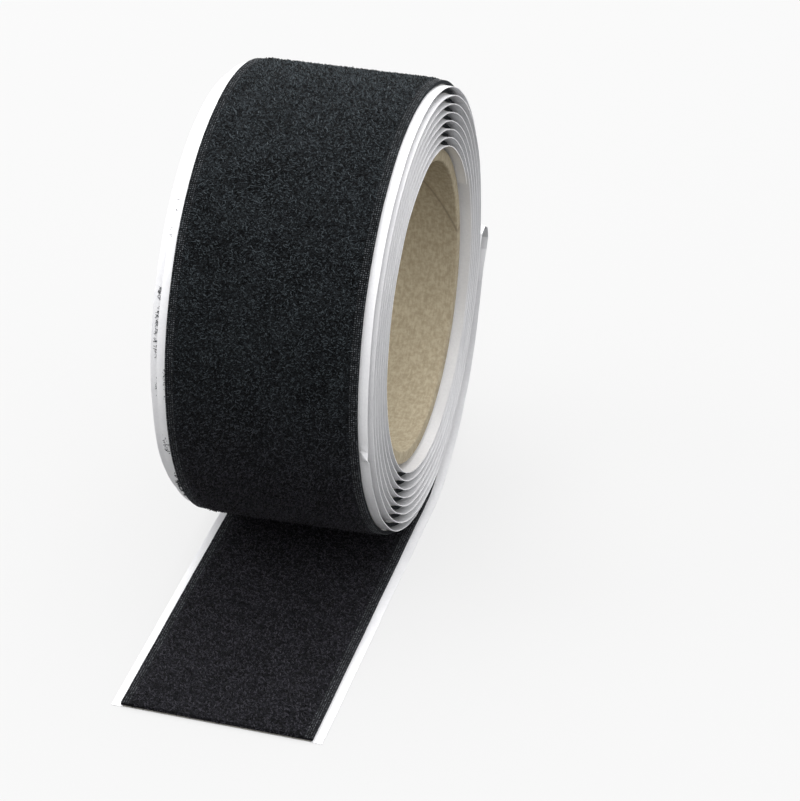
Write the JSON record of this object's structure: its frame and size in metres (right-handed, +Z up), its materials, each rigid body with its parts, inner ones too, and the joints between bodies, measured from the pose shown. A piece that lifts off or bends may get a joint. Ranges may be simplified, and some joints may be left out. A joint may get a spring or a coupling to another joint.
{
  "type": "roll of loop tape",
  "caption": "Roll of black self-adhesive loop tape wound on a cardboard core, with a wider white release liner and a free tail that lies flat, lifts and peels, loop side up.",
  "frame": {"origin": "on the underside of the tape, straight below the roll's axis and midway across the roll", "axes": "+X along the roll's axis, +Y away from the free tail, +Z up from the surface that the tape lies on"},
  "size_m": [0.0605, 0.1809, 0.1227],
  "materials": {
    "loop_fabric": "matte",
    "adhesive": "satin",
    "liner": "satin",
    "cardboard": "matte"
  },
  "bodies": {
    "roll": {"cardboard_core": "cardboard", "loop_fabric_winding": "loop_fabric", "adhesive_winding": "adhesive", "liner_winding": "liner", "loop_fabric_fold": "loop_fabric", "adhesive_fold": "adhesive", "liner_fold": "liner"},
    "tail": {"loop_fabric_tail": "loop_fabric", "adhesive_tail": "adhesive", "liner_tail": "liner"},
    "tape_end": {"loop_fabric_end": "loop_fabric", "adhesive_end": "adhesive"}
  },
  "joints": [
    {"name": "tail_lift", "type": "hinge", "parent": "roll", "child": "tail", "pos_m": [0, -0.038, 0.0021], "axis": [-1, 0, 0], "range_deg": [0, 40]},
    {"name": "tape_peel", "type": "hinge", "parent": "tail", "child": "tape_end", "pos_m": [0, -0.082, 0.0021], "axis": [-1, 0, 0], "range_deg": [0, 60]}
  ]
}
